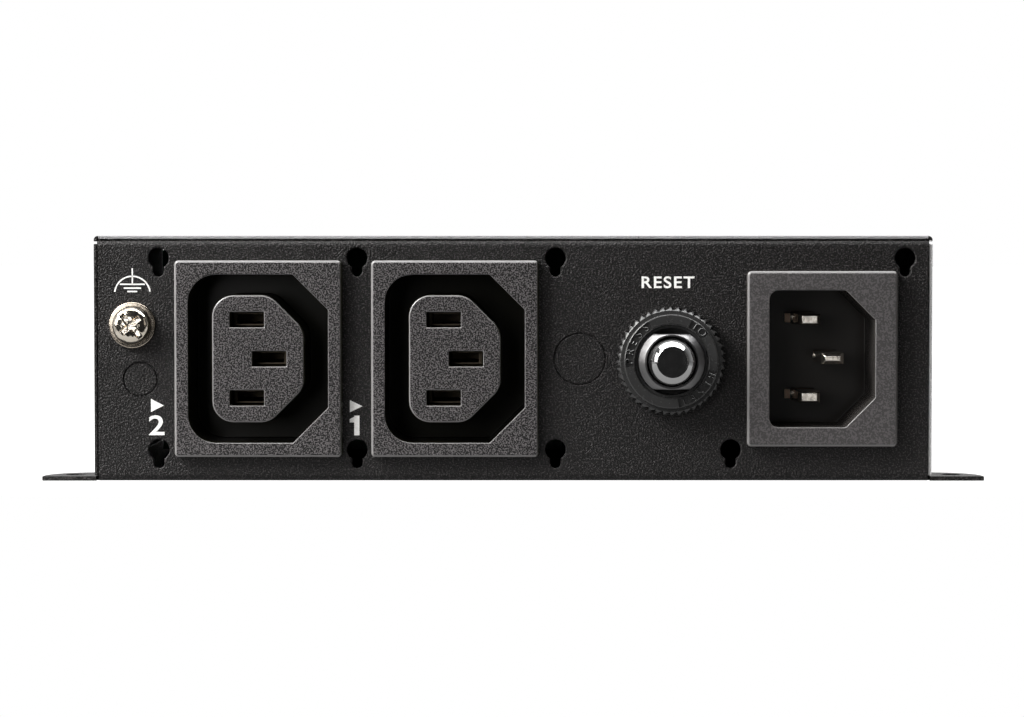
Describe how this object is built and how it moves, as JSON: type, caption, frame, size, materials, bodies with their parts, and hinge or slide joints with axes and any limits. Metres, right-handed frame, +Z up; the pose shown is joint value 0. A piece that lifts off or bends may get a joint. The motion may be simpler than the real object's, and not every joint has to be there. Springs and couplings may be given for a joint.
{
  "type": "smart power distribution unit",
  "caption": "Low black steel box with numbered appliance outlets, a push-to-reset breaker, an inlet and an earth screw on its socket panel, network jacks at the rear and mounting ears.",
  "frame": {"origin": "middle of the four ear holes, on the underside of the floor", "axes": "+X to the right as seen from the socket end, -Y out of the socket panel, +Z up"},
  "size_m": [0.1694, 0.1147, 0.044],
  "materials": {
    "case_paint": "fine textured black powder coat",
    "screw_steel": "nickel plated",
    "outlet_plastic": "spark textured",
    "inlet_plastic": "satin",
    "pin_nickel": "nickel plated",
    "contact_brass": "tinned or plain",
    "link_copper": "plain copper",
    "breaker_plastic": "satin",
    "bushing_metal": "satin",
    "button_gloss": "glossy",
    "board_green": "solder resist",
    "relay_case": "sealed case",
    "sensor_case": "potted case",
    "supply_case": "potted module",
    "capacitor_sleeve": "shrink sleeve",
    "chip_black": "moulded package",
    "header_plastic": "nylon",
    "ribbon_grey": "flat cable",
    "jack_plastic": "moulded",
    "lamp_lens": "tinted lens"
  },
  "bodies": {
    "chassis": {"base_tray": "case_paint", "top_cover": "case_paint", "cover_screws": "screw_steel", "small_stud": "case_paint", "large_stud": "case_paint", "outlet_1_housing": "outlet_plastic", "outlet_1_line_contact": "contact_brass", "outlet_1_neutral_contact": "contact_brass", "outlet_1_earth_contact": "contact_brass", "outlet_2_housing": "outlet_plastic", "outlet_2_line_contact": "contact_brass", "outlet_2_neutral_contact": "contact_brass", "outlet_2_earth_contact": "contact_brass", "inlet_housing": "inlet_plastic", "inlet_line_pin": "pin_nickel", "inlet_neutral_pin": "pin_nickel", "inlet_earth_pin": "pin_nickel", "breaker_body": "breaker_plastic", "breaker_bushing": "bushing_metal", "breaker_nut": "breaker_plastic", "breaker_line_tab": "contact_brass", "breaker_load_tab": "contact_brass", "earth_washer": "screw_steel", "earth_screw": "screw_steel", "earth_nut": "screw_steel", "earth_strap": "link_copper", "strap_nut": "screw_steel", "outlet_board": "board_green", "relay_1": "relay_case", "relay_2": "relay_case", "current_sensor_1": "sensor_case", "current_sensor_2": "sensor_case", "feed_tabs": "contact_brass", "main_board": "board_green", "board_posts": "header_plastic", "power_supply": "supply_case", "bulk_capacitor": "capacitor_sleeve", "processor": "chip_black", "ribbon_headers": "header_plastic", "board_ribbon": "ribbon_grey", "lan_jack": "jack_plastic", "lan_jack_contacts": "contact_brass", "link_jack": "jack_plastic", "link_jack_contacts": "contact_brass", "sensor_jack": "jack_plastic", "sensor_jack_contacts": "contact_brass", "status_lamps": "lamp_lens", "line_link": "link_copper", "load_link": "link_copper", "neutral_link": "link_copper", "earth_link": "link_copper"},
    "button": {"reset_button": "button_gloss"}
  },
  "joints": [
    {"name": "reset_slide", "type": "slide", "parent": "chassis", "child": "button", "axis": [0, -1, 0], "range_m": [0, 0.004]}
  ]
}
